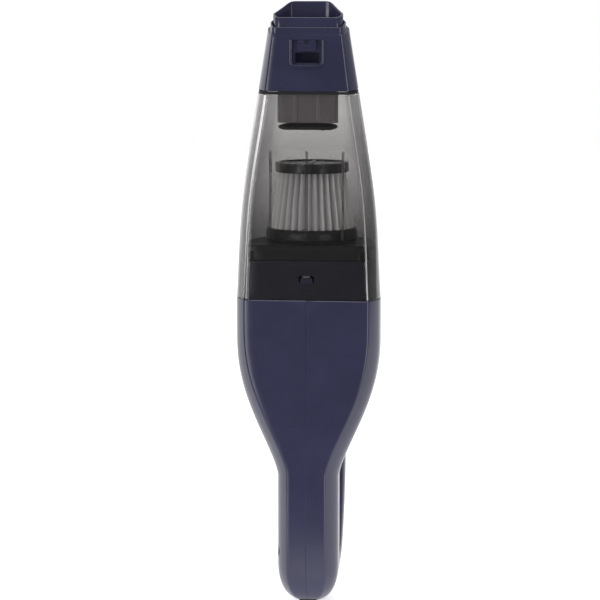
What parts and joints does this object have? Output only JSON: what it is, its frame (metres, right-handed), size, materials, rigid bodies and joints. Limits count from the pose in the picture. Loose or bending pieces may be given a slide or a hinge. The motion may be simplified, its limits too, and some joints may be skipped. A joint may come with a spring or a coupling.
{
  "type": "handheld vacuum",
  "caption": "Cordless handheld vacuum with a loop handle, a tapered clear dust bin over a pleated filter, and a short raised nozzle with an accessory socket.",
  "frame": {"origin": "middle of the dock block's end face, at the tail end of the casing", "axes": "+Z from the tail to the nozzle, -Y out of the flat underside, +Y towards the loop handle, +X to the right as the underside is seen with the nozzle up"},
  "size_m": [0.106, 0.1085, 0.4472],
  "materials": {
    "navy": "satin",
    "dark_navy": "satin",
    "smoke_clear": "polished, clear smoke-tinted plastic",
    "duct_grey": "gloss",
    "black_plastic": "satin",
    "rubber": "matte",
    "flap_rubber": "matte",
    "filter_paper": "matte",
    "steel": "satin",
    "board_green": "satin",
    "cell_wrap": "satin",
    "white_nylon": "matte",
    "lamp_lens": "gloss",
    "lead_red": "matte",
    "lead_black": "matte"
  },
  "bodies": {
    "body": {"body_left": "navy", "body_right": "navy", "screw_shoulder": "steel", "screw_grip": "steel", "screw_heel": "steel", "screw_tail": "steel", "screw_waist": "steel", "switch_unit": "black_plastic", "charge_lamp": "lamp_lens", "charge_jack": "black_plastic", "dock_block": "black_plastic", "battery_cell_1": "cell_wrap", "battery_cell_2": "cell_wrap", "battery_cell_3": "cell_wrap", "battery_cradle": "white_nylon", "circuit_board": "board_green", "motor_can": "steel", "motor_boot": "rubber", "motor_plate": "black_plastic", "fan_housing": "black_plastic", "motor_lead_red": "lead_red", "motor_lead_black": "lead_black", "bulkhead": "dark_navy", "filter_deck": "black_plastic", "intake_grille": "black_plastic"},
    "bin": {"dust_bin": "smoke_clear", "nozzle_seal": "rubber", "nozzle_shell": "navy", "mouth_collar": "navy", "inlet_duct": "duct_grey", "flap_pin": "steel"},
    "flap": {"inlet_flap": "flap_rubber"},
    "filter": {"filter_seal": "rubber", "filter_ring": "black_plastic", "filter_pleats": "filter_paper", "filter_cage": "black_plastic", "filter_cap": "black_plastic"},
    "button": {"release_button": "navy"},
    "slider": {"power_switch": "black_plastic"},
    "fan": {"impeller": "white_nylon", "motor_shaft": "steel"}
  },
  "joints": [
    {"name": "bin_pull", "type": "slide", "parent": "body", "child": "bin", "axis": [0, 0, 1], "range_m": [0, 0.12]},
    {"name": "flap_swing", "type": "hinge", "parent": "bin", "child": "flap", "pos_m": [0, -0.0031, 0.3573], "axis": [1, 0, 0], "range_deg": [0, 70], "stiffness_Nm_per_rad": 0.004, "springref_deg": -8.59},
    {"name": "filter_lift", "type": "slide", "parent": "body", "child": "filter", "axis": [0, 0, 1], "range_m": [0, 0.007]},
    {"name": "release_press", "type": "slide", "parent": "body", "child": "button", "axis": [0, -1, 0], "range_m": [0, 0.0025], "stiffness_N_per_m": 300, "springref_m": -0.003},
    {"name": "power_slide", "type": "slide", "parent": "body", "child": "slider", "axis": [0, -0.1155, 0.9933], "range_m": [0, 0.006]},
    {"name": "fan_spin", "type": "hinge", "parent": "body", "child": "fan", "pos_m": [0, 0.012, 0.22], "axis": [0, 0, 1], "continuous": true}
  ]
}
